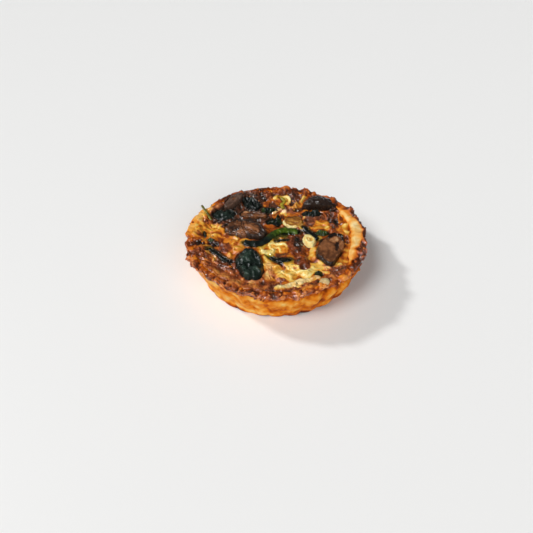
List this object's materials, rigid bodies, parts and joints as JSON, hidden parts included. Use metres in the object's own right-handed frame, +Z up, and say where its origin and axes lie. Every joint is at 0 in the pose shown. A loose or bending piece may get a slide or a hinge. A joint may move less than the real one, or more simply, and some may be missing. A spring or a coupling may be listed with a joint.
{
  "type": "quiche",
  "caption": "Small open quiche: fluted pastry case filled with baked custard, topped with mushroom slices, spinach and onion.",
  "frame": {"origin": "middle of the flat underside of the pastry case, on the surface it stands on", "axes": "+Z up, +X to the right and +Y to the back, as seen from the side where the rim stands highest"},
  "size_m": [0.1148, 0.1076, 0.0289],
  "materials": {
    "crust": "baked pastry, browned at the rim",
    "custard": "baked custard and cheese, browned in patches, oily",
    "mushroom": "roasted mushroom, wrinkled",
    "spinach": "cooked spinach, dark and moist",
    "onion": "cooked onion, translucent",
    "cheese": "soft pale cheese",
    "leek": "cooked leek, pale green"
  },
  "bodies": {
    "root": {"pastry_crust": "crust", "custard_filling": "custard", "mushroom_left": "mushroom", "mushroom_right": "mushroom", "mushroom_cap_back": "mushroom", "mushroom_back_left": "mushroom", "mushroom_middle": "mushroom", "onion_slice": "onion", "onion_lump_front": "onion", "cheese_curd": "cheese", "spinach_front": "spinach", "spinach_centre": "spinach", "spinach_middle": "spinach", "spinach_back_left": "spinach", "spinach_far_left": "spinach", "spinach_back_right": "spinach", "spinach_right": "spinach", "spinach_bit_front": "spinach", "spinach_bit_left": "spinach", "spinach_bit_left_low": "spinach", "spinach_stem": "spinach", "spinach_strip_right": "spinach", "spinach_strip_front": "spinach", "spinach_strip_left": "spinach", "leek_back": "leek", "leek_shred": "leek"}
  },
  "joints": []
}
